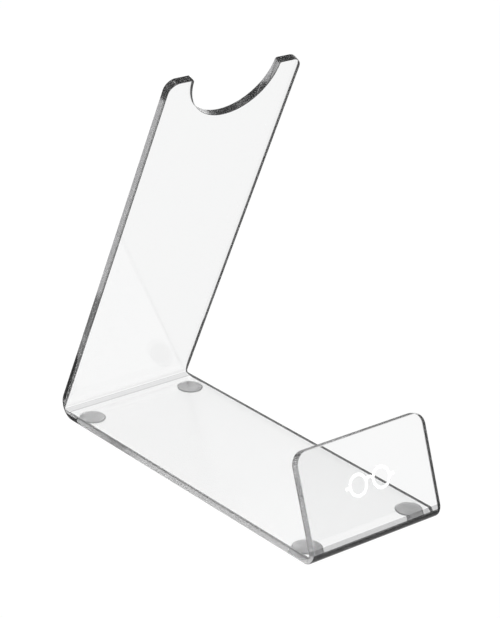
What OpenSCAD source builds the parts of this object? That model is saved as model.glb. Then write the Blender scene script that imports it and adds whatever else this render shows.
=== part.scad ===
// Display stand for one pair of glasses: a clear sheet bent twice, on four stick-on feet.
// X runs across the sheet, -Y is the lip side, Z is up and z = 0 is the plane that the feet stand on.

/* [Sheet] */
// Width of the sheet
sheet_w = 60; // [50:0.5:80]
// Thickness of the sheet
sheet_t = 3.2; // [2.5:0.1:4]
// Length of the base between its two inner corners
base_len = 144; // [120:1:180]

/* [Tall panel] */
// Length of the tall panel, from the inner corner to its top edge
panel_len = 159; // [120:1:180]
// Angle between the base and the tall panel
panel_angle = 67.5; // [66:0.5:80]
// Radius of the tall panel's two outer corners
panel_corner_r = 4.3; // [1:0.1:6]
// Radius of the half-round notch for the bridge of the glasses
notch_r = 19.3; // [12:0.1:21]
// Radius of the two horn tips beside the notch
horn_tip_r = 1; // [0.4:0.1:1.5]

/* [Lip] */
// Length of the lip, from the inner corner to its top edge
lip_len = 37; // [25:0.5:50]
// Angle between the base and the lip
lip_angle = 69.5; // [60:0.5:80]
// Radius of the lip's two top corners
lip_corner_r = 5; // [1:0.1:8]

/* [Bends] */
// Outside radius of the bend under the tall panel, in sheet thicknesses
back_bend_ratio = 2; // [1.2:0.05:2]
// Outside radius of the bend under the lip, in sheet thicknesses
front_bend_ratio = 1.6; // [1.2:0.05:1.9]
// Inside radius of both bends
crease_r = 0.5; // [0.3:0.1:1.5]

/* [Feet] */
// Diameter of a foot pad
pad_d = 10; // [8:0.1:12]
// Thickness of a foot pad
pad_t = 0.4; // [0.3:0.05:3]
// Radius of a foot pad's lower edge
pad_edge_r = 0.15; // [0.05:0.05:0.25]
// Diameter of the adhesive disc on a foot pad
adhesive_d = 9.4; // [7:0.1:11.5]
// Thickness of the adhesive disc
adhesive_t = 0.1; // [0.05:0.01:0.3]
// Distance from a foot's centre to the nearer side edge of the sheet
foot_side_inset = 6.2; // [6:0.1:9]
// Distance from a front foot's centre to the front inner corner
foot_front_inset = 8.8; // [8:0.1:15]
// Distance from a back foot's centre to the back inner corner
foot_back_inset = 9.9; // [8:0.1:15]

/* [Printed mark] */
// Height of the mark's centre above the front inner corner, along the lip
mark_height = 19.2; // [12:0.1:25]
// Outside diameter of each rim in the mark
mark_rim_d = 8.6; // [5:0.1:10]
// Width of the mark's lines
mark_line = 1.1; // [0.5:0.1:1.5]
// Gap between the two rims
mark_gap = 2.2; // [1.6:0.1:3]
// Length of the stub on the outer side of each rim
mark_stub = 1.6; // [1:0.1:2.5]
// Thickness of the ink
ink_t = 0.06; // [0.04:0.01:0.1]

/* [Hidden] */
$fn = 96;
over = 1;                                   // how far a cutter runs past the sheet
bite = 0.2;                                 // how far a crease's filling runs into the sheet
touch = 0.0005;                             // an arc is this much larger, so that it meets its walls
back_bend_r = back_bend_ratio * sheet_t;
front_bend_r = front_bend_ratio * sheet_t;
lift = pad_t + adhesive_t;                  // underside of the base above the floor
front_reach = base_len / 2 + front_bend_r + (sheet_t - front_bend_r) / tan(lip_angle / 2);
back_reach = base_len / 2 + back_bend_r + (sheet_t - back_bend_r) / tan(panel_angle / 2);
centre_y = (front_reach - back_reach) / 2;  // puts the middle of the object's depth at y = 0

// corners of the side profile, as [y, z] above the underside of the base
front_in = [-base_len / 2, sheet_t];
back_in = [base_len / 2, sheet_t];
front_out = [-base_len / 2 - sheet_t / tan(lip_angle / 2), 0];
back_out = [base_len / 2 + sheet_t / tan(panel_angle / 2), 0];
lip_up = [cos(lip_angle), sin(lip_angle)];
lip_outward = [-sin(lip_angle), cos(lip_angle)];
panel_up = [-cos(panel_angle), sin(panel_angle)];
panel_outward = [sin(panel_angle), cos(panel_angle)];

// centre of a horn tip's rounding, measured from the middle of the notch
horn_x = sqrt(pow(notch_r + horn_tip_r, 2) - pow(horn_tip_r, 2));
inside_notch = (notch_r - over) / (notch_r + horn_tip_r);

// What lies between a corner at the origin and an arc that touches both of its walls.
// One wall runs along +X and the other at the given angle. It runs past both walls by the given depth.
module corner_piece(angle, r, depth) {
    reach = r / tan(angle / 2);
    difference() {
        polygon([-depth / sin(angle / 2) * [cos(angle / 2), sin(angle / 2)],
                 [reach, -depth],
                 [reach, r],
                 reach * [cos(angle), sin(angle)] + depth * [-sin(angle), cos(angle)]]);
        translate([reach, r]) circle(r + touch);
    }
}

// The sheet seen from its side, with mitred corners that are then rounded outside and filled inside
module side_profile() {
    difference() {
        polygon([front_out, back_out,
                 back_in + panel_len * panel_up + sheet_t * panel_outward,
                 back_in + panel_len * panel_up, back_in,
                 front_in, front_in + lip_len * lip_up,
                 front_in + lip_len * lip_up + sheet_t * lip_outward]);
        translate(front_out) corner_piece(lip_angle, front_bend_r, over);
        translate(back_out) rotate(180 - panel_angle) corner_piece(panel_angle, back_bend_r, over);
    }
    translate(front_in) corner_piece(lip_angle, crease_r, bite);
    translate(back_in) rotate(180 - panel_angle) corner_piece(panel_angle, crease_r, bite);
}

// What is trimmed off the two top corners of a plate of the given length
module top_corners(length, r) {
    for (side = [0, 1])
        mirror([side, 0])
            translate([sheet_w / 2, length]) rotate(180) corner_piece(90, r, over);
}

// What is trimmed off one horn tip, between the top edge and the notch
module horn_tip() {
    difference() {
        polygon([[horn_x, over], [notch_r - over, over],
                 inside_notch * [horn_x, -horn_tip_r], [horn_x, -horn_tip_r]]);
        translate([horn_x, -horn_tip_r]) circle(horn_tip_r + touch);
    }
}

// The notch with its two rounded horn tips
module notch_outline() {
    translate([0, panel_len]) {
        circle(notch_r);
        for (side = [0, 1])
            mirror([side, 0]) horn_tip();
    }
}

// Frames of the two upright plates: X across, Y up along the inner face
module on_panel() {
    translate([0, centre_y + back_in[0], lift + back_in[1]])
        rotate([180 - panel_angle, 0, 0]) children();
}

module on_lip() {
    translate([0, centre_y + front_in[0], lift + front_in[1]])
        rotate([lip_angle, 0, 0]) children();
}

module acrylic_sheet() {
    color([0.9, 0.93, 0.94, 0.35])
    difference() {
        translate([0, centre_y, lift]) rotate([90, 0, 90])
            linear_extrude(height = sheet_w, center = true) side_profile();
        on_panel() translate([0, 0, -sheet_t - over])
            linear_extrude(height = sheet_t + 2 * over) {
                notch_outline();
                top_corners(panel_len, panel_corner_r);
            }
        on_lip() translate([0, 0, -over])
            linear_extrude(height = sheet_t + 2 * over) top_corners(lip_len, lip_corner_r);
    }
}

// Puts a foot piece under a corner of the base: side is -1 left or 1 right, end is -1 front or 1 back
module at_foot(side, end) {
    inset = end < 0 ? foot_front_inset : foot_back_inset;
    translate([side * (sheet_w / 2 - foot_side_inset), centre_y + end * (base_len / 2 - inset), 0])
        children();
}

module foot_pad(side, end) {
    color([0.55, 0.55, 0.56, 0.9])
    at_foot(side, end) rotate_extrude() {
        square([pad_d / 2 - pad_edge_r, pad_t]);
        translate([0, pad_edge_r]) square([pad_d / 2, pad_t - pad_edge_r]);
        intersection() {
            translate([pad_d / 2 - pad_edge_r, pad_edge_r]) circle(pad_edge_r);
            square(pad_d);
        }
    }
}

module foot_adhesive(side, end) {
    color([0.8, 0.8, 0.8, 0.8])
    at_foot(side, end) translate([0, 0, pad_t]) cylinder(d = adhesive_d, h = adhesive_t);
}

module foot_pad_front_left() { foot_pad(-1, -1); }
module foot_pad_front_right() { foot_pad(1, -1); }
module foot_pad_back_left() { foot_pad(-1, 1); }
module foot_pad_back_right() { foot_pad(1, 1); }
module foot_adhesive_front_left() { foot_adhesive(-1, -1); }
module foot_adhesive_front_right() { foot_adhesive(1, -1); }
module foot_adhesive_back_left() { foot_adhesive(-1, 1); }
module foot_adhesive_back_right() { foot_adhesive(1, 1); }

// A ring of the mark's line width
module ring(d) {
    difference() {
        circle(d = d);
        circle(d = d - 2 * mark_line);
    }
}

// A plain spectacles pictogram: two round rims, an arched bridge and two short stubs
module mark_outline() {
    rim_x = (mark_rim_d + mark_gap) / 2;
    bridge_d = mark_gap + 2 * mark_line;
    for (side = [-1, 1]) {
        translate([side * rim_x, 0]) ring(mark_rim_d);
        translate([side * (rim_x + mark_rim_d / 2 + mark_stub / 2 - mark_line / 2), 0])
            square([mark_stub + mark_line, mark_line], center = true);
    }
    intersection() {
        ring(bridge_d);
        translate([-bridge_d / 2, 0]) square([bridge_d, bridge_d]);
    }
}

module printed_mark() {
    color("white")
    on_lip() translate([0, mark_height, sheet_t]) linear_extrude(height = ink_t) mark_outline();
}

acrylic_sheet();
foot_pad_front_left();
foot_pad_front_right();
foot_pad_back_left();
foot_pad_back_right();
foot_adhesive_front_left();
foot_adhesive_front_right();
foot_adhesive_back_left();
foot_adhesive_back_right();
printed_mark();
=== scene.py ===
"""A clear stand for one pair of glasses: an acrylic sheet bent twice, on four stick-on feet.

The CAD frame gives the places. Every piece here rides on its one body, "root".
"""

from math import asin, cos, degrees, pi, radians, sin, sqrt, tan

import bmesh
import bpy
from mathutils import Matrix, Vector
from mathutils.geometry import tessellate_polygon


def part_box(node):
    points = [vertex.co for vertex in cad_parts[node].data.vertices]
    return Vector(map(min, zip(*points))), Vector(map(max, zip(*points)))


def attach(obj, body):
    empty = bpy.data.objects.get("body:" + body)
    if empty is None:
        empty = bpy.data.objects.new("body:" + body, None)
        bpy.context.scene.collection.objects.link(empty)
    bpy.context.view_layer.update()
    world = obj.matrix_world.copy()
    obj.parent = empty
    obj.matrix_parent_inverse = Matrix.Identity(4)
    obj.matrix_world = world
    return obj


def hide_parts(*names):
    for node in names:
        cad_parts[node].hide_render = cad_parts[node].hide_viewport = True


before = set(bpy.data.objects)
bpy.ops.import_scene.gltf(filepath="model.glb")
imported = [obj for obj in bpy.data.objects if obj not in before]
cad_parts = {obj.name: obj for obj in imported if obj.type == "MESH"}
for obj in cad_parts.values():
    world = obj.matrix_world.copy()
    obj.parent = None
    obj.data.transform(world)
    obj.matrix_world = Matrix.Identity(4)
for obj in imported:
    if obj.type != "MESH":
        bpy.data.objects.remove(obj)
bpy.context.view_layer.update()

MM = 0.001

# Sheet
SHEET_W = 60 * MM
SHEET_T = 3.2 * MM
BASE_LEN = 144 * MM
PANEL_LEN = 159 * MM
PANEL_ANGLE = radians(67.5)
PANEL_CORNER_R = 4.3 * MM
LIP_LEN = 37 * MM
LIP_ANGLE = radians(69.5)
LIP_CORNER_R = 5 * MM
NOTCH_R = 19.3 * MM
HORN_TIP_R = 1 * MM
BACK_BEND_R = 2 * SHEET_T
FRONT_BEND_R = 1.6 * SHEET_T
CREASE_R = 0.5 * MM
EDGE_R = 0.35 * MM                    # softened edge of the polished cut
EDGE_STEPS = 3
CORNER_STEPS = 16                     # on a quarter round of the outline
HORN_STEPS = 10
NOTCH_STEPS = 120
BEND_STEPS = 30                       # strips across each bend
SAME_PLACE = 1e-8                     # points this near a cut count as on it
FLAT_FACE_WEIGHT = 100                # large flat faces decide the shading beside them
INNER_CORNER = BASE_LEN / 2
LIP_TOP = -INNER_CORNER - LIP_LEN     # along the flat blank
PANEL_TOP = INNER_CORNER + PANEL_LEN

# Where the sheet lies: the feet lift it, and the back bend's reach gives the middle of the base
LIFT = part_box("foot_adhesive_back_left")[1].z
CENTRE_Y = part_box("acrylic_sheet")[1].y - (
    INNER_CORNER + BACK_BEND_R + (SHEET_T - BACK_BEND_R) / tan(PANEL_ANGLE / 2))

# Feet
FOOT_PLACES = ("front_left", "front_right", "back_left", "back_right")
FOOT_SIDES = 96
PAD_EDGE_R = 0.15 * MM
PAD_TOP_EDGE_R = 0.06 * MM
PAD_SOLE = 0.45                       # inner ring of the pad's underside, as a share of its radius
DISC_FACE = 0.5                       # inner ring of the other flat faces
ADHESIVE_EDGE_R = 0.03 * MM
FOOT_EDGE_STEPS = 6
BOND = 0.01 * MM                      # how far glued and printed faces sit in their neighbour

# Printed mark
MARK_HEIGHT = 19.2 * MM
MARK_RIM_D = 8.6 * MM
MARK_LINE = 1.1 * MM
MARK_GAP = 2.2 * MM
MARK_STUB = 1.6 * MM
INK_T = 0.06 * MM
STUB_SIDE_STEPS = 40                  # on a rim's upper half, from the stub to the bridge
RIM_UNDER_STEPS = 48
BRIDGE_STEPS = 24
RIM_HOLE_STEPS = 64

# Clear acrylic: tint of the faces and cut edges, plate by plate. The differences between plates are painted
# light and shade: lighter faces on the base, lightest at its front, and cut edges painted darker, most on
# the upright plates.
ACRYLIC_IOR = 1.49
ACRYLIC_SHEEN = (0.1, 0.1, 0.1, 1)    # how much the faces mirror
PANEL_FACE = (0.925, 0.927, 0.927)
LIP_FACE = (0.93, 0.932, 0.932)
BASE_FACE = (0.965, 0.967, 0.967)
BASE_FRONT_FACE = (0.985, 0.987, 0.987)
BASE_EDGE = (0.85, 0.85, 0.855)
UPRIGHT_EDGE = (0.46, 0.46, 0.465)
PLATE_FADE = 2 * MM
LIP_START = (-INNER_CORNER - 3 * MM, -INNER_CORNER - 2 * MM)
BASE_FRONT = (-55 * MM, -15 * MM)     # where the front tint fades into the rest of the base

# Painted shade: a dark line along the inner side of the two long side edges
SIDE_EDGE = (SHEET_W / 2 - 0.5 * MM, SHEET_W / 2 - 0.3 * MM)
EDGE_LINE = (0.2, 0.2, 0.2)
EDGE_LINE_HEIGHT = (0.76 * SHEET_T, 0.92 * SHEET_T)
EDGE_LINE_FADE = 0.04 * SHEET_T

# Share of its inner mirror that a cut edge loses, and what shows instead
FULL_MIRROR = 0.9                     # from this mirrored share on, the edge loses light
EDGE_LOSS = 0.96
EDGE_SHADE = (0.1, 0.1, 0.1)
LIP_TOP_LOSS = 0.3                    # share of that loss that the lip's top edge keeps
LIP_TOP_EDGE = (LIP_TOP + 1 * MM, LIP_TOP + 2 * MM)

# The sheet's two faces, by height in the sheet: outer at 0 and inner at the sheet's thickness
INNER_FACE = (0.85 * SHEET_T, 0.95 * SHEET_T)
OUTER_FACE = (0.05 * SHEET_T, 0.15 * SHEET_T)

# Painted shade inside the back bend: a grey band with a darker crisp line on each side of it
BEND_FADE = 0.1 * MM                  # soft border of the painted shade in the back bend and of the painted light and shade at the front bend
BACK_BEND_SHADE = (0.72, 0.72, 0.725)
BACK_BEND_SHADE_LINE = (0.4, 0.4, 0.405)
BACK_BEND_SHADE_BAND = (INNER_CORNER - 7.6 * MM, INNER_CORNER)
BACK_BEND_SHADE_BASE_LINE = 0.35 * MM
BACK_BEND_SHADE_PANEL_LINE = 1.4 * MM

# Painted light and shade outside the front bend: a wide band of painted shade low down and a narrow band of
# painted light above it
FRONT_BEND_LIGHT = (0.42, 0.42, 0.425)
FRONT_BEND_LIGHT_BAND = (-INNER_CORNER - 2.7 * MM, -INNER_CORNER - 1.6 * MM)
FRONT_BEND_SHADE = (0.02, 0.02, 0.02)
FRONT_BEND_SHADE_BAND = (-INNER_CORNER - 1.65 * MM, -INNER_CORNER + 2.7 * MM)

# Painted shade in dark streaks on the cut edges near the back bend, on the outer part of the edge
STREAK_SHADE = (0.005, 0.005, 0.005)
STREAK_BAND = (INNER_CORNER - 9 * MM, INNER_CORNER + 27 * MM)
STREAK_FADE = 2 * MM
STREAK_HEIGHT = (0.55 * SHEET_T, 0.65 * SHEET_T)
STREAK_GAPS = (0.27, 0.35)            # noise below this range leaves the edge clear

# Roughness of the acrylic, and the height of its waves and polishing lines
POLISH_LINES = (0.35, 0.7)            # noise range over which a cut edge grows rougher
EDGE_ROUGHNESS = (0.16, 0.24)
SMEARS = (0.55, 0.8)                  # noise range over which a face grows rougher
SMEAR_ROUGHNESS = 0.012
TRAY_DUST = 0.2                       # on the base's two faces, between the two bends
TRAY = (10 * MM - INNER_CORNER, INNER_CORNER - 9 * MM)
WAVE_HEIGHT = 0.02 * MM
POLISH_HEIGHT = 0.004 * MM

# Other finishes
NOISE_SPREAD = (0.3, 0.7)             # most of a noise pattern lies in this range
RUBBER_IOR = 1.5
RUBBER_CLOUD = (0.35, 0.68)
RUBBER_DARK = (0.17, 0.17, 0.175)
RUBBER_LIGHT = (0.25, 0.25, 0.255)
RUBBER_ROUGHNESS = (0.38, 0.56)
RUBBER_GRAIN = 0.02 * MM
ADHESIVE_IOR = 1.47
ADHESIVE_DULL = (0.66, 0.66, 0.665)
ADHESIVE_MILKY = (0.84, 0.84, 0.845)
ADHESIVE_WETTING = (0.35, 0.7)
ADHESIVE_ROUGHNESS = (0.30, 0.5)
ADHESIVE_RELIEF = 0.01 * MM
BUBBLE_RIM = (0.08, 0.16)
BUBBLE_SHARE = 0.35                   # of the milky tone, with the wetting giving the rest
INK_IOR = 1.5
INK_THIN = (0.93, 0.93, 0.925)
INK_FULL = (0.98, 0.98, 0.98)
INK_ROUGHNESS = (0.55, 0.7)
SCREEN_RELIEF = 0.008 * MM

# Camera and floor
CAMERA_AZIMUTH = radians(-40.56)
CAMERA_ELEVATION = radians(23.22)
CAMERA_ROLL = radians(2.35)
CAMERA_DISTANCE = 0.8976
CAMERA_AIM = Vector((0.0355, 0.04147, 0.0405))
CAMERA_LENS = 135.07
CAMERA_CLIP = (0.01, 50)
SENSOR = 36
FLOOR_SIZE = 12
FLOOR_MIRRORED = 0.5                  # how much dimmer the floor is in a mirrored view
LIGHT_POWER = 22
LIGHT_AIM = (0, 0, 0.05)
LIGHT_BOUNCES = 40

# Tone of the surround, by the sine of the height above the horizon
SURROUND = ((0.0, 0.97), (0.50, 0.97), (0.62, 0.08), (0.90, 0.10), (1.0, 0.5))


# ---------------------------------------------------------------- node helpers

def add_node(tree, kind, **settings):
    """A new node with the given settings."""
    node = tree.nodes.new(kind)
    for name, value in settings.items():
        setattr(node, name, value)
    return node


def feed(tree, socket, value):
    """Links an output into a socket, or sets the socket to a constant."""
    if isinstance(value, bpy.types.NodeSocket):
        tree.links.new(value, socket)
    else:
        socket.default_value = value


def maths(tree, operation, *values):
    """The result of a sum on outputs or constants."""
    node = add_node(tree, "ShaderNodeMath", operation=operation)
    for socket, value in zip(node.inputs, values):
        feed(tree, socket, value)
    return node.outputs[0]


def tree_inputs(tree, inputs):
    """Declares a geometry tree's inputs, which are name and socket type, and its one output."""
    tree.interface.new_socket("Geometry", in_out="INPUT", socket_type="NodeSocketGeometry")
    for name, kind in inputs:
        tree.interface.new_socket(name, in_out="INPUT", socket_type=kind)
    tree.interface.new_socket("Geometry", in_out="OUTPUT", socket_type="NodeSocketGeometry")
    return add_node(tree, "NodeGroupInput").outputs, add_node(tree, "NodeGroupOutput").inputs


# ---------------------------------------------------------------- the sheet's two bends

def bend_tree():
    """Bends one end of a flat blank upwards. The blank lies on z = 0 with Y along it.

    The outside of the bend follows a wide arc and the inside a tight one, as a line-bent sheet does.
    """
    tree = bpy.data.node_groups.new("line_bend", "GeometryNodeTree")
    given, out = tree_inputs(tree, (
        ("End", "NodeSocketFloat"), ("Inner Corner", "NodeSocketFloat"),
        ("Turn", "NodeSocketFloat"), ("Thickness", "NodeSocketFloat"),
        ("Outer Radius", "NodeSocketFloat"), ("Inner Radius", "NodeSocketFloat")))
    corner, turn, thick = given["Inner Corner"], given["Turn"], given["Thickness"]
    outer_r, inner_r = given["Outer Radius"], given["Inner Radius"]

    place = add_node(tree, "ShaderNodeSeparateXYZ")
    feed(tree, place.inputs[0], add_node(tree, "GeometryNodeInputPosition").outputs[0])
    along = maths(tree, "MULTIPLY", place.outputs["Y"], given["End"])
    height = place.outputs["Z"]

    slope = maths(tree, "TANGENT", maths(tree, "DIVIDE", turn, 2.0))
    outer_corner = maths(tree, "MULTIPLY_ADD", thick, slope, corner)
    outer_y = maths(tree, "SUBTRACT", outer_corner, maths(tree, "MULTIPLY", outer_r, slope))
    inner_y = maths(tree, "SUBTRACT", corner, maths(tree, "MULTIPLY", inner_r, slope))
    zone = maths(tree, "SUBTRACT", corner, outer_y)

    # share of the bend already made, and the turn so far
    past = maths(tree, "SUBTRACT", along, outer_y)
    share = maths(tree, "DIVIDE", past, maths(tree, "MULTIPLY", zone, 2.0))
    share = maths(tree, "MINIMUM", maths(tree, "MAXIMUM", share, 0.0), 1.0)
    angle = maths(tree, "MULTIPLY", share, turn)
    sine, cosine = maths(tree, "SINE", angle), maths(tree, "COSINE", angle)
    rise = maths(tree, "SUBTRACT", 1.0, cosine)

    # the two arcs, and the point between them at this height in the sheet
    depth = maths(tree, "DIVIDE", height, thick)
    rest = maths(tree, "SUBTRACT", 1.0, depth)

    def between(outer, inner):
        return maths(tree, "MULTIPLY_ADD", outer, rest, maths(tree, "MULTIPLY", inner, depth))

    bent_y = between(maths(tree, "MULTIPLY_ADD", outer_r, sine, outer_y),
                     maths(tree, "MULTIPLY_ADD", inner_r, sine, inner_y))
    bent_z = between(maths(tree, "MULTIPLY", outer_r, rise),
                     maths(tree, "MULTIPLY_ADD", inner_r, rise, thick))

    # the straight plate after the bend
    beyond = maths(tree, "SUBTRACT", along, corner)
    under = maths(tree, "SUBTRACT", thick, height)
    full_sine, full_cosine = maths(tree, "SINE", turn), maths(tree, "COSINE", turn)
    plate_y = maths(tree, "ADD", corner,
                    maths(tree, "MULTIPLY_ADD", beyond, full_cosine,
                          maths(tree, "MULTIPLY", under, full_sine)))
    plate_z = maths(tree, "ADD", thick,
                    maths(tree, "SUBTRACT", maths(tree, "MULTIPLY", beyond, full_sine),
                          maths(tree, "MULTIPLY", under, full_cosine)))

    tolerance = 1e-6
    bending = maths(tree, "GREATER_THAN", past, -tolerance)
    straight = maths(tree, "GREATER_THAN", beyond, maths(tree, "ADD", zone, tolerance))

    def choose(flat, bent, plate):
        value = flat
        for test, other in ((bending, bent), (straight, plate)):
            pick = add_node(tree, "GeometryNodeSwitch", input_type="FLOAT")
            feed(tree, pick.inputs["Switch"], test)
            feed(tree, pick.inputs["False"], value)
            feed(tree, pick.inputs["True"], other)
            value = pick.outputs[0]
        return value

    joined = add_node(tree, "ShaderNodeCombineXYZ")
    new_y = maths(tree, "MULTIPLY", given["End"], choose(along, bent_y, plate_y))
    feed(tree, joined.inputs["X"], place.outputs["X"])
    feed(tree, joined.inputs["Y"], new_y)
    feed(tree, joined.inputs["Z"], choose(height, bent_z, plate_z))
    moved = add_node(tree, "GeometryNodeSetPosition")
    feed(tree, moved.inputs["Geometry"], given["Geometry"])
    feed(tree, moved.inputs["Position"], joined.outputs[0])
    feed(tree, out["Geometry"], moved.outputs[0])
    return tree


def stand_tree():
    """Bends a flat blank at both ends, puts it in the stand's frame and gives it its material.

    Each point keeps its place in the flat blank in the attribute "blank".
    """
    tree = bpy.data.node_groups.new("bent_stand", "GeometryNodeTree")
    given, out = tree_inputs(tree, (
        ("Inner Corner", "NodeSocketFloat"), ("Thickness", "NodeSocketFloat"),
        ("Panel Turn", "NodeSocketFloat"), ("Panel Bend Radius", "NodeSocketFloat"),
        ("Lip Turn", "NodeSocketFloat"), ("Lip Bend Radius", "NodeSocketFloat"),
        ("Crease Radius", "NodeSocketFloat"), ("Place", "NodeSocketVector"),
        ("Material", "NodeSocketMaterial")))
    flat = add_node(tree, "GeometryNodeStoreNamedAttribute", data_type="FLOAT_VECTOR", domain="POINT")
    flat.inputs["Name"].default_value = "blank"
    feed(tree, flat.inputs["Geometry"], given["Geometry"])
    feed(tree, flat.inputs["Value"], add_node(tree, "GeometryNodeInputPosition").outputs[0])
    shape = flat.outputs[0]
    line_bend = bend_tree()
    for end, turn, radius in ((1.0, "Panel Turn", "Panel Bend Radius"),
                              (-1.0, "Lip Turn", "Lip Bend Radius")):
        bend = add_node(tree, "GeometryNodeGroup", node_tree=line_bend)
        feed(tree, bend.inputs["Geometry"], shape)
        feed(tree, bend.inputs["End"], end)
        feed(tree, bend.inputs["Inner Corner"], given["Inner Corner"])
        feed(tree, bend.inputs["Turn"], given[turn])
        feed(tree, bend.inputs["Thickness"], given["Thickness"])
        feed(tree, bend.inputs["Outer Radius"], given[radius])
        feed(tree, bend.inputs["Inner Radius"], given["Crease Radius"])
        shape = bend.outputs[0]
    put = add_node(tree, "GeometryNodeSetPosition")
    feed(tree, put.inputs["Geometry"], shape)
    feed(tree, put.inputs["Offset"], given["Place"])
    real = add_node(tree, "GeometryNodeRealizeInstances")
    feed(tree, real.inputs["Geometry"], put.outputs[0])
    finish = add_node(tree, "GeometryNodeSetMaterial")
    feed(tree, finish.inputs["Geometry"], real.outputs[0])
    feed(tree, finish.inputs["Material"], given["Material"])
    feed(tree, out["Geometry"], finish.outputs[0])
    return tree


def piece_from(name, mesh):
    """Puts a mesh in the scene as an object at the origin."""
    piece = bpy.data.objects.new(name, mesh)
    bpy.context.scene.collection.objects.link(piece)
    return piece


def bend_blank(name, blank, tree, material):
    """Runs the flat blank through the two bends and returns the finished, plain mesh piece."""
    rough = piece_from(name + "_blank", blank)
    modifier = rough.modifiers.new("bends", "NODES")
    modifier.node_group = tree
    values = {
        "Inner Corner": INNER_CORNER, "Thickness": SHEET_T,
        "Panel Turn": pi - PANEL_ANGLE, "Panel Bend Radius": BACK_BEND_R,
        "Lip Turn": pi - LIP_ANGLE, "Lip Bend Radius": FRONT_BEND_R,
        "Crease Radius": CREASE_R, "Place": (0, CENTRE_Y, LIFT), "Material": material}
    for item in tree.interface.items_tree:
        if item.item_type == "SOCKET" and item.in_out == "INPUT" and item.name in values:
            modifier[item.identifier] = values[item.name]
    weigh = rough.modifiers.new("normals", "WEIGHTED_NORMAL")
    weigh.weight = FLAT_FACE_WEIGHT
    graph = bpy.context.evaluated_depsgraph_get()
    mesh = bpy.data.meshes.new_from_object(
        rough.evaluated_get(graph), preserve_all_data_layers=True, depsgraph=graph)
    bpy.data.objects.remove(rough)
    mesh.name = name
    return piece_from(name, mesh)


# ---------------------------------------------------------------- flat blanks

def arc(centre, radius, start, end, steps):
    """Points on an arc, with both of its ends. Angles are in degrees."""
    return [(centre[0] + radius * cos(radians(start + (end - start) * k / steps)),
             centre[1] + radius * sin(radians(start + (end - start) * k / steps)))
            for k in range(steps + 1)]


def blank_outline(inset):
    """Anticlockwise outline of the flat blank, moved inwards by the given amount."""
    side = SHEET_W / 2
    lip_x, lip_y = side - LIP_CORNER_R, LIP_TOP + LIP_CORNER_R
    panel_x, panel_y = side - PANEL_CORNER_R, PANEL_TOP - PANEL_CORNER_R
    horn_x = sqrt((NOTCH_R + HORN_TIP_R) ** 2 - HORN_TIP_R ** 2)
    lean = degrees(asin(HORN_TIP_R / (NOTCH_R + HORN_TIP_R)))
    lip_r, panel_r, horn_r = LIP_CORNER_R - inset, PANEL_CORNER_R - inset, HORN_TIP_R - inset
    horn_y = PANEL_TOP - HORN_TIP_R
    notch = arc((0, PANEL_TOP), NOTCH_R + inset, -lean, lean - 180, NOTCH_STEPS)
    return (arc((lip_x, lip_y), lip_r, -90, 0, CORNER_STEPS)
            + arc((panel_x, panel_y), panel_r, 0, 90, CORNER_STEPS)
            + arc((horn_x, horn_y), horn_r, 90, 180 - lean, HORN_STEPS)
            + notch[1:-1]
            + arc((-horn_x, horn_y), horn_r, lean, 90, HORN_STEPS)
            + arc((-panel_x, panel_y), panel_r, 90, 180, CORNER_STEPS)
            + arc((-lip_x, lip_y), lip_r, 180, 270, CORNER_STEPS))


def edge_rounding():
    """Steps from the flat underside out to the cut edge, as inset and height."""
    turns = [pi / 2 * k / EDGE_STEPS for k in range(EDGE_STEPS + 1)]
    return [(EDGE_R * (1 - sin(a)), EDGE_R * (1 - cos(a))) for a in turns]


def sheet_blank():
    """The cut blank before bending: two faces, a cut edge all round and softened corners between.

    The attribute "cut_edge" is 1 on the edge and 0 on the two faces. Both bends are cut into strips.
    """
    lower = edge_rounding()
    upper = [(inset, SHEET_T - z) for inset, z in reversed(lower)]
    bm = bmesh.new()
    cut = bm.verts.layers.float.new("cut_edge")
    rings = []
    for number, (inset, z) in enumerate(lower + upper):
        ring = [bm.verts.new((x, y, z)) for x, y in blank_outline(inset)]
        for vert in ring:
            vert[cut] = float(0 < number < len(lower + upper) - 1)
        rings.append(ring)
    count = len(rings[0])
    for low, high in zip(rings, rings[1:]):
        for k in range(count):
            after = (k + 1) % count
            bm.faces.new((low[k], low[after], high[after], high[k]))
    bm.faces.new(reversed(rings[0]))
    bm.faces.new(rings[-1])
    for end, angle, radius in ((1, PANEL_ANGLE, BACK_BEND_R), (-1, LIP_ANGLE, FRONT_BEND_R)):
        zone = (radius - SHEET_T) / tan(angle / 2)
        for k in range(BEND_STEPS + 1):
            y = end * (INNER_CORNER - zone + 2 * zone * k / BEND_STEPS)
            bmesh.ops.bisect_plane(bm, geom=bm.verts[:] + bm.edges[:] + bm.faces[:],
                                   plane_co=(0, y, 0), plane_no=(0, 1, 0), dist=SAME_PLACE)
    for face in bm.faces:
        face.smooth = True
    return finished_mesh("acrylic_blank", bm)


def finished_mesh(name, bm):
    """Turns the edit mesh into a plain one."""
    mesh = bpy.data.meshes.new(name)
    bm.to_mesh(mesh)
    bm.free()
    return mesh


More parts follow.
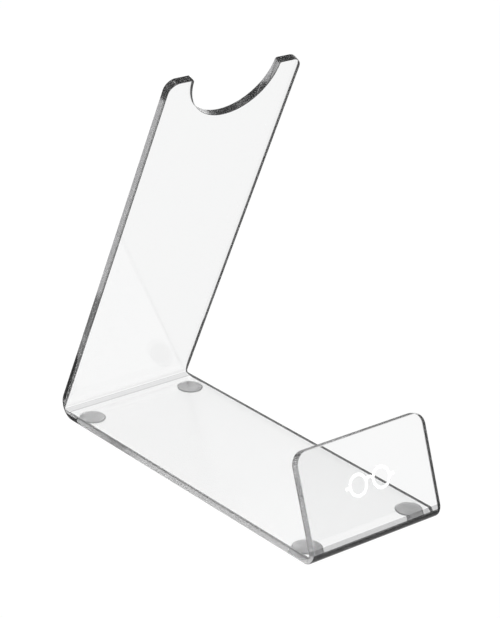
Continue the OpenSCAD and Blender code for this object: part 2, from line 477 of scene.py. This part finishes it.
def mark_loops():
    """The mark's outer loop and its two round holes, as points across and up the lip."""
    rim_x = (MARK_RIM_D + MARK_GAP) / 2
    rim_r = MARK_RIM_D / 2
    half_line = MARK_LINE / 2
    stub_end = rim_x + rim_r + MARK_STUB
    stub_angle = degrees(asin(half_line / rim_r))
    inner_arch_r = MARK_GAP / 2
    arch_r = inner_arch_r + MARK_LINE
    meet_x = (arch_r ** 2 - rim_r ** 2 + rim_x ** 2) / (2 * rim_x)
    meet_y = sqrt(arch_r ** 2 - meet_x ** 2)
    arch_angle = degrees(asin(meet_y / arch_r))
    rim_angle = 180 - degrees(asin(meet_y / rim_r))
    over = arc((rim_x, 0), rim_r, stub_angle, rim_angle, STUB_SIDE_STEPS)
    under = arc((rim_x, 0), rim_r, 180, 360 - stub_angle, RIM_UNDER_STEPS)
    right_top = [(stub_end, -half_line), (stub_end, half_line)] + over
    arch = arc((0, 0), arch_r, arch_angle, 180 - arch_angle, BRIDGE_STEPS)[1:-1]
    left_top = [(-x, y) for x, y in reversed(right_top)]
    left_under = [(-x, y) for x, y in reversed(under)]
    inner_arch = arc((0, 0), inner_arch_r, 180, 0, BRIDGE_STEPS)[1:-1]
    outer = right_top + arch + left_top + left_under + inner_arch + under
    holes = [arc((x, 0), rim_r - MARK_LINE, 0, 360, RIM_HOLE_STEPS)[:-1] for x in (-rim_x, rim_x)]
    return [outer] + holes


def mark_blank():
    """The printed mark, laid on the blank's underside, which becomes the lip's outer face."""
    loops = mark_loops()
    flat = [[Vector((x, y, 0)) for x, y in loop] for loop in loops]
    triangles = tessellate_polygon(flat)
    bm = bmesh.new()

    def lay(z):
        return [bm.verts.new((x, -INNER_CORNER - MARK_HEIGHT - y, z))
                for loop in loops
                for x, y in loop]

    outside, inside = lay(-INK_T), lay(BOND)
    for a, b, c in triangles:
        bm.faces.new((outside[a], outside[b], outside[c]))
        bm.faces.new((inside[c], inside[b], inside[a]))
    first = 0
    for loop in loops:
        for k in range(len(loop)):
            here, after = first + k, first + (k + 1) % len(loop)
            bm.faces.new((outside[here], outside[after], inside[after], inside[here]))
        first += len(loop)
    bmesh.ops.recalc_face_normals(bm, faces=bm.faces)
    return finished_mesh("mark_blank", bm)


# ---------------------------------------------------------------- feet

def turned(name, profile, centre, material):
    """A closed piece turned about a vertical axis, with its profile given from below to above."""
    bm = bmesh.new()
    x0, y0 = centre
    turns = [2 * pi * k / FOOT_SIDES for k in range(FOOT_SIDES)]
    rings = []
    for r, z in profile[1:-1]:
        rings.append([bm.verts.new((x0 + r * cos(a), y0 + r * sin(a), z)) for a in turns])
    low, high = (bm.verts.new((x0, y0, z)) for r, z in (profile[0], profile[-1]))
    for k in range(FOOT_SIDES):
        after = (k + 1) % FOOT_SIDES
        bm.faces.new((low, rings[0][after], rings[0][k]))
        bm.faces.new((high, rings[-1][k], rings[-1][after]))
        for lower, upper in zip(rings, rings[1:]):
            bm.faces.new((lower[k], lower[after], upper[after], upper[k]))
    for face in bm.faces:
        face.smooth = True
    mesh = finished_mesh(name, bm)
    mesh.materials.append(material)
    return piece_from(name, mesh)


def quarter(r, z, radius, start):
    """A quarter round in a profile, centred at r and z, starting at the given angle in degrees."""
    return arc((r, z), radius, start, start + 90, FOOT_EDGE_STEPS)


def foot_centre(place):
    """Middle of a foot, across and along the stand."""
    low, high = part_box("foot_pad_" + place)
    return (low.x + high.x) / 2, (low.y + high.y) / 2


def foot_pad(place, material):
    """One stick-on foot: a thin disc, more rounded below than above."""
    low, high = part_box("foot_pad_" + place)
    edge = (high.x - low.x) / 2
    profile = ([(0, low.z), (edge * PAD_SOLE, low.z)]
               + quarter(edge - PAD_EDGE_R, low.z + PAD_EDGE_R, PAD_EDGE_R, -90)
               + quarter(edge - PAD_TOP_EDGE_R, high.z - PAD_TOP_EDGE_R, PAD_TOP_EDGE_R, 0)
               + [(edge * DISC_FACE, high.z), (0, high.z)])
    return turned("rubber_foot_" + place, profile, foot_centre(place), material)


def foot_adhesive(place, material):
    """The adhesive disc between a foot and the sheet, let into both by the bond."""
    low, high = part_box("foot_adhesive_" + place)
    edge = (high.x - low.x) / 2
    r = ADHESIVE_EDGE_R
    bottom, top = low.z - BOND, high.z + BOND
    profile = ([(0, bottom), (edge * DISC_FACE, bottom)]
               + quarter(edge - r, bottom + r, r, -90)
               + quarter(edge - r, top - r, r, 0)
               + [(edge * DISC_FACE, top), (0, top)])
    return turned("adhesive_disc_" + place, profile, foot_centre(place), material)


# ---------------------------------------------------------------- materials

def new_material(name):
    """A material with its node tree and its surface shader."""
    material = bpy.data.materials.new(name)
    material.use_nodes = True
    tree = material.node_tree
    return material, tree, tree.nodes["Principled BSDF"]


def set_sockets(shader, values):
    """Sets the shader's constant inputs."""
    for name, value in values.items():
        shader.inputs[name].default_value = value


def object_place(tree):
    """Place on the piece, in the stand's own frame."""
    return add_node(tree, "ShaderNodeTexCoord").outputs["Object"]


def blank_place(tree):
    """Place in the flat blank, so that a pattern follows the sheet round its bends."""
    return add_node(tree, "ShaderNodeAttribute", attribute_name="blank").outputs["Vector"]


def noise(tree, place, scale, stretch=(1, 1, 1), detail=3.0, roughness=0.5):
    """Soft random pattern, finer where the scale is larger and drawn out where the stretch is small."""
    sized = add_node(tree, "ShaderNodeMapping")
    feed(tree, sized.inputs["Vector"], place)
    sized.inputs["Scale"].default_value = stretch
    made = add_node(tree, "ShaderNodeTexNoise")
    feed(tree, made.inputs["Vector"], sized.outputs[0])
    made.inputs["Scale"].default_value = scale
    made.inputs["Detail"].default_value = detail
    made.inputs["Roughness"].default_value = roughness
    return made.outputs["Fac"]


def span(tree, value, low, high, to_low, to_high):
    """Maps a value from one range to another, held at the ends."""
    made = add_node(tree, "ShaderNodeMapRange")
    for name, part in (("Value", value), ("From Min", low), ("From Max", high),
                       ("To Min", to_low), ("To Max", to_high)):
        feed(tree, made.inputs[name], part)
    return made.outputs["Result"]


def blend_colours(tree, share, first, second):
    """The first colour where the share is 0 and the second where it is 1."""
    made = add_node(tree, "ShaderNodeMix", data_type="RGBA")
    feed(tree, made.inputs["Factor"], share)
    for name, colour in (("A", first), ("B", second)):
        feed(tree, made.inputs[name], (*colour, 1) if isinstance(colour, tuple) else colour)
    return made.outputs["Result"]


def bump(tree, height, distance, strength=1.0, before=None):
    """Relief from a height pattern, on top of an earlier relief if there is one."""
    made = add_node(tree, "ShaderNodeBump")
    feed(tree, made.inputs["Height"], height)
    made.inputs["Distance"].default_value = distance
    made.inputs["Strength"].default_value = strength
    if before is not None:
        feed(tree, made.inputs["Normal"], before)
    return made.outputs[0]


def band(tree, value, low, high, fade):
    """One between two values and none beyond them, with a fade outside each."""
    rising = span(tree, value, low - fade, low, 0.0, 1.0)
    falling = span(tree, value, high, high + fade, 1.0, 0.0)
    return maths(tree, "MULTIPLY", rising, falling)


def plate_colours(tree, along, edge):
    """Tint of the faces and cut edges, plate by plate, with painted light and shade between the plates."""
    lip = span(tree, along, *LIP_START, 1.0, 0.0)
    base = band(tree, along, -INNER_CORNER, INNER_CORNER, PLATE_FADE)
    front = span(tree, along, *BASE_FRONT, 1.0, 0.0)
    faces = blend_colours(tree, base, PANEL_FACE, BASE_FACE)
    faces = blend_colours(tree, front, faces, BASE_FRONT_FACE)
    faces = blend_colours(tree, lip, faces, LIP_FACE)
    edges = blend_colours(tree, base, UPRIGHT_EDGE, BASE_EDGE)
    return blend_colours(tree, edge, faces, edges)


def side_edge_shade_line(tree, aside, height, edge, clear):
    """Painted shade: a dark line along the inner side of the two long side edges."""
    from_middle = maths(tree, "ABSOLUTE", aside)
    side = maths(tree, "MULTIPLY", edge, span(tree, from_middle, *SIDE_EDGE, 0.0, 1.0))
    line = band(tree, height, *EDGE_LINE_HEIGHT, EDGE_LINE_FADE)
    return blend_colours(tree, maths(tree, "MULTIPLY", line, side), clear, EDGE_LINE)


def back_bend_shade(tree, along, inner, clear):
    """Painted shade on the inside of the back bend: a grey band with a darker crisp line on each side of
    it.
    """
    start, end = BACK_BEND_SHADE_BAND
    bend_shade = maths(tree, "MULTIPLY", band(tree, along, start, end, BEND_FADE), inner)
    first = band(tree, along, start, start + BACK_BEND_SHADE_BASE_LINE, BEND_FADE)
    last = band(tree, along, end - BACK_BEND_SHADE_PANEL_LINE, end, BEND_FADE)
    lines = maths(tree, "MULTIPLY", maths(tree, "MAXIMUM", first, last), inner)
    clear = blend_colours(tree, bend_shade, clear, BACK_BEND_SHADE)
    return blend_colours(tree, lines, clear, BACK_BEND_SHADE_LINE)


def front_bend_light_and_shade(tree, along, outer, clear):
    """Painted shade on the outside of the front bend low down, and a band of painted light above it."""
    low = band(tree, along, *FRONT_BEND_SHADE_BAND, BEND_FADE)
    high = band(tree, along, *FRONT_BEND_LIGHT_BAND, BEND_FADE)
    clear = blend_colours(tree, maths(tree, "MULTIPLY", high, outer), clear, FRONT_BEND_LIGHT)
    return blend_colours(tree, maths(tree, "MULTIPLY", low, outer), clear, FRONT_BEND_SHADE)


def edge_shade_streaks(tree, place, along, height, edge, clear):
    """Painted shade in dark streaks on the cut edges near the back bend."""
    near = band(tree, along, *STREAK_BAND, STREAK_FADE)
    near = maths(tree, "MULTIPLY", near, span(tree, height, *STREAK_HEIGHT, 1.0, 0.0))
    patches = noise(tree, place, scale=190, stretch=(0, 1, 0.6), detail=1.0)
    broken = span(tree, patches, *STREAK_GAPS, 0.0, 1.0)
    share = maths(tree, "MULTIPLY", maths(tree, "MULTIPLY", near, broken), edge)
    return blend_colours(tree, share, clear, STREAK_SHADE)


def lost_mirror(tree, along, edge):
    """Share of the light inside the sheet that a cut edge doesn't mirror back."""
    inner_mirror = add_node(tree, "ShaderNodeFresnel")
    inner_mirror.inputs["IOR"].default_value = ACRYLIC_IOR
    mirrored = span(tree, inner_mirror.outputs[0], FULL_MIRROR, 1.0, 0.0, EDGE_LOSS)
    inside = add_node(tree, "ShaderNodeNewGeometry").outputs["Backfacing"]
    lost = maths(tree, "MULTIPLY", maths(tree, "MULTIPLY", mirrored, inside), edge)
    below_lip_top = span(tree, along, *LIP_TOP_EDGE, LIP_TOP_LOSS, 1.0)
    return maths(tree, "MULTIPLY", lost, below_lip_top)


def acrylic_roughness(tree, place, along, edge, lines):
    """Polished faces with faint smears, a dusty base and finely scored cut edges."""
    smears = noise(tree, place, scale=160, stretch=(1, 0.25, 1), detail=4.0, roughness=0.65)
    scored = span(tree, lines, *POLISH_LINES, *EDGE_ROUGHNESS)
    edge_rough = maths(tree, "MULTIPLY", edge, scored)
    tray = band(tree, along, *TRAY, PLATE_FADE)
    dusty = maths(tree, "MULTIPLY", maths(tree, "SUBTRACT", tray, edge), TRAY_DUST)
    dusty = maths(tree, "MAXIMUM", dusty, 0.0)
    smeared = span(tree, smears, *SMEARS, 0.0, SMEAR_ROUGHNESS)
    face_rough = maths(tree, "ADD", smeared, dusty)
    return maths(tree, "ADD", edge_rough, face_rough)


def clear_acrylic():
    """Clear cast acrylic: glossy, slightly wavy faces, and cut edges with fine polishing lines."""
    material, tree, shader = new_material("clear_cast_acrylic")
    set_sockets(shader, {"IOR": ACRYLIC_IOR, "Specular Tint": ACRYLIC_SHEEN, "Specular IOR Level": 0.0})
    place = blank_place(tree)
    edge = add_node(tree, "ShaderNodeAttribute", attribute_name="cut_edge").outputs["Fac"]
    split = add_node(tree, "ShaderNodeSeparateXYZ")
    feed(tree, split.inputs[0], place)
    aside, along, height = split.outputs
    inner = span(tree, height, *INNER_FACE, 0.0, 1.0)
    outer = span(tree, height, *OUTER_FACE, 1.0, 0.0)
    # The colour below carries painted light and shade: between the plates, along the side edges, in both
    # bends and in dark streaks on the cut edges.
    clear = plate_colours(tree, along, edge)
    clear = side_edge_shade_line(tree, aside, height, edge, clear)
    clear = back_bend_shade(tree, along, inner, clear)
    clear = front_bend_light_and_shade(tree, along, outer, clear)
    clear = edge_shade_streaks(tree, place, along, height, edge, clear)
    lost = lost_mirror(tree, along, edge)
    feed(tree, shader.inputs["Base Color"], blend_colours(tree, lost, clear, EDGE_SHADE))
    feed(tree, shader.inputs["Transmission Weight"], maths(tree, "SUBTRACT", 1.0, lost))
    lines = noise(tree, place, scale=500, stretch=(1, 1, 0.02), detail=1.0)
    flow = noise(tree, place, scale=34, detail=1.0)
    feed(tree, shader.inputs["Roughness"], acrylic_roughness(tree, place, along, edge, lines))
    wavy = bump(tree, flow, WAVE_HEIGHT, strength=0.25)
    polished = bump(tree, maths(tree, "MULTIPLY", lines, edge), POLISH_HEIGHT, strength=0.06, before=wavy)
    feed(tree, shader.inputs["Normal"], polished)
    return material


def foot_rubber():
    """Grey urethane: cloudy colour and a fine moulded grain."""
    material, tree, shader = new_material("grey_urethane")
    set_sockets(shader, {"IOR": RUBBER_IOR})
    place = object_place(tree)
    cloud = noise(tree, place, scale=420, detail=4.0)
    grain = noise(tree, place, scale=4200, detail=2.0)
    tone = span(tree, cloud, *RUBBER_CLOUD, 0, 1)
    feed(tree, shader.inputs["Base Color"], blend_colours(tree, tone, RUBBER_DARK, RUBBER_LIGHT))
    feed(tree, shader.inputs["Roughness"], span(tree, grain, *NOISE_SPREAD, *RUBBER_ROUGHNESS))
    feed(tree, shader.inputs["Normal"], bump(tree, grain, RUBBER_GRAIN, strength=0.5))
    return material


def adhesive_film():
    """Milky transfer adhesive, wetted out unevenly, with small trapped bubbles."""
    material, tree, shader = new_material("milky_adhesive")
    set_sockets(shader, {"IOR": ADHESIVE_IOR})
    place = object_place(tree)
    wet = noise(tree, place, scale=260, detail=3.0)
    cells = add_node(tree, "ShaderNodeTexVoronoi")
    feed(tree, cells.inputs["Vector"], place)
    cells.inputs["Scale"].default_value = 900
    bubbles = span(tree, cells.outputs["Distance"], *BUBBLE_RIM, 1.0, 0.0)
    bubbles = maths(tree, "MULTIPLY", bubbles, BUBBLE_SHARE)
    tone = maths(tree, "ADD", bubbles, span(tree, wet, *ADHESIVE_WETTING, 0, 1 - BUBBLE_SHARE))
    feed(tree, shader.inputs["Base Color"], blend_colours(tree, tone, ADHESIVE_DULL, ADHESIVE_MILKY))
    feed(tree, shader.inputs["Roughness"], span(tree, wet, *NOISE_SPREAD, *ADHESIVE_ROUGHNESS))
    feed(tree, shader.inputs["Normal"], bump(tree, tone, ADHESIVE_RELIEF, strength=0.4))
    return material


def white_ink():
    """Matt white screen ink with the faint weave of the screen and a little unevenness."""
    material, tree, shader = new_material("white_screen_ink")
    set_sockets(shader, {"IOR": INK_IOR})
    place = blank_place(tree)
    cover = noise(tree, place, scale=900, detail=3.0)
    screen = add_node(tree, "ShaderNodeTexVoronoi", distance="CHEBYCHEV")
    feed(tree, screen.inputs["Vector"], place)
    screen.inputs["Scale"].default_value = 7000
    screen.inputs["Randomness"].default_value = 0.15
    tone = span(tree, cover, *NOISE_SPREAD, 0, 1)
    feed(tree, shader.inputs["Base Color"], blend_colours(tree, tone, INK_THIN, INK_FULL))
    feed(tree, shader.inputs["Roughness"], span(tree, cover, *NOISE_SPREAD, *INK_ROUGHNESS))
    feed(tree, shader.inputs["Normal"], bump(tree, screen.outputs["Distance"], SCREEN_RELIEF, strength=0.4))
    return material


# ---------------------------------------------------------------- studio

def studio_world():
    """Soft surround: bright low down, dark at mid height and half lit overhead.

    The dark zone draws the clear edges. Seen directly, the surround is plain white.
    """
    world = bpy.data.worlds.new("studio")
    bpy.context.scene.world = world
    world.use_nodes = True
    tree = world.node_tree
    shader = tree.nodes["Background"]
    direction = add_node(tree, "ShaderNodeSeparateXYZ")
    feed(tree, direction.inputs[0], add_node(tree, "ShaderNodeTexCoord").outputs["Generated"])
    ramp = add_node(tree, "ShaderNodeValToRGB")
    feed(tree, ramp.inputs["Fac"], direction.outputs["Z"])
    marks = ramp.color_ramp.elements
    while len(marks) < len(SURROUND):
        marks.new(0.5)
    for mark, (height, tone) in zip(marks, SURROUND):
        mark.position = height
        mark.color = (tone, tone, tone, 1)
    seen = add_node(tree, "ShaderNodeLightPath").outputs["Is Camera Ray"]
    mix = add_node(tree, "ShaderNodeMix", data_type="RGBA")
    feed(tree, mix.inputs["Factor"], seen)
    feed(tree, mix.inputs["A"], ramp.outputs["Color"])
    mix.inputs["B"].default_value = (1, 1, 1, 1)
    feed(tree, shader.inputs["Color"], mix.outputs["Result"])


def studio_floor():
    """A plain white floor that glows evenly, as a light table does, and is dimmer in a mirrored view."""
    bm = bmesh.new()
    half = FLOOR_SIZE / 2
    corners = ((-half, -half), (half, -half), (half, half), (-half, half))
    bm.faces.new([bm.verts.new((x, y, 0)) for x, y in corners])
    floor = piece_from("floor", finished_mesh("floor", bm))
    material, tree, shader = new_material("white_floor")
    set_sockets(shader, {"Base Color": (0.01, 0.01, 0.01, 1), "Roughness": 0.9, "Specular IOR Level": 0.0,
                         "Emission Color": (1, 1, 1, 1)})
    path = add_node(tree, "ShaderNodeLightPath")
    mirror = maths(tree, "MULTIPLY", path.outputs["Is Glossy Ray"],
                   maths(tree, "SUBTRACT", 1.0, path.outputs["Is Transmission Ray"]))
    dimmed = maths(tree, "MULTIPLY", mirror, FLOOR_MIRRORED)
    feed(tree, shader.inputs["Emission Strength"], maths(tree, "SUBTRACT", 1.0, dimmed))
    floor.data.materials.append(material)


def soft_light(name, size, place):
    """A square soft box of the given side, turned towards the stand."""
    lamp = bpy.data.lights.new(name, "AREA")
    lamp.shape = "RECTANGLE"
    lamp.size = lamp.size_y = size
    lamp.energy = LIGHT_POWER
    holder = bpy.data.objects.new(name, lamp)
    holder.location = place
    holder.rotation_euler = (Vector(LIGHT_AIM) - Vector(place)).to_track_quat("-Z", "Y").to_euler()
    bpy.context.scene.collection.objects.link(holder)


def studio_camera():
    """Looks at the stand from its front left, from a little above."""
    away = Vector((sin(CAMERA_AZIMUTH) * cos(CAMERA_ELEVATION),
                   -cos(CAMERA_AZIMUTH) * cos(CAMERA_ELEVATION), sin(CAMERA_ELEVATION)))
    data = bpy.data.cameras.new("camera")
    data.lens, data.sensor_width = CAMERA_LENS, SENSOR
    data.clip_start, data.clip_end = CAMERA_CLIP
    camera = bpy.data.objects.new("camera", data)
    bpy.context.scene.collection.objects.link(camera)
    turn = (-away).to_track_quat("-Z", "Y").to_matrix() @ Matrix.Rotation(CAMERA_ROLL, 3, "Z")
    camera.matrix_world = Matrix.Translation(CAMERA_AIM + away * CAMERA_DISTANCE) @ turn.to_4x4()
    bpy.context.scene.camera = camera


def keep(piece, node):
    """Rides the piece on the stand, in place of its CAD node."""
    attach(piece, "root")
    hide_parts(node)


def clear_light_paths():
    """Lets light be guided along inside the sheet until it comes out."""
    paths = bpy.context.scene.cycles
    paths.max_bounces = paths.glossy_bounces = paths.transmission_bounces = LIGHT_BOUNCES


studio_camera()
studio_world()
clear_light_paths()
studio_floor()
soft_light("overhead", 1.0, (-0.2, -0.1, 1.5))
soft_light("front", 0.9, (-0.5, -1.5, 0.9))
bpy.context.scene.view_settings.view_transform = "Standard"

bends = stand_tree()
sheet = bend_blank("bent_acrylic_sheet", sheet_blank(), bends, clear_acrylic())
keep(sheet, "acrylic_sheet")
mark = bend_blank("spectacles_mark", mark_blank(), bends, white_ink())
keep(mark, "printed_mark")
rubber, adhesive = foot_rubber(), adhesive_film()
for where in FOOT_PLACES:
    keep(foot_pad(where, rubber), "foot_pad_" + where)
    keep(foot_adhesive(where, adhesive), "foot_adhesive_" + where)

bpy.context.view_layer.update()
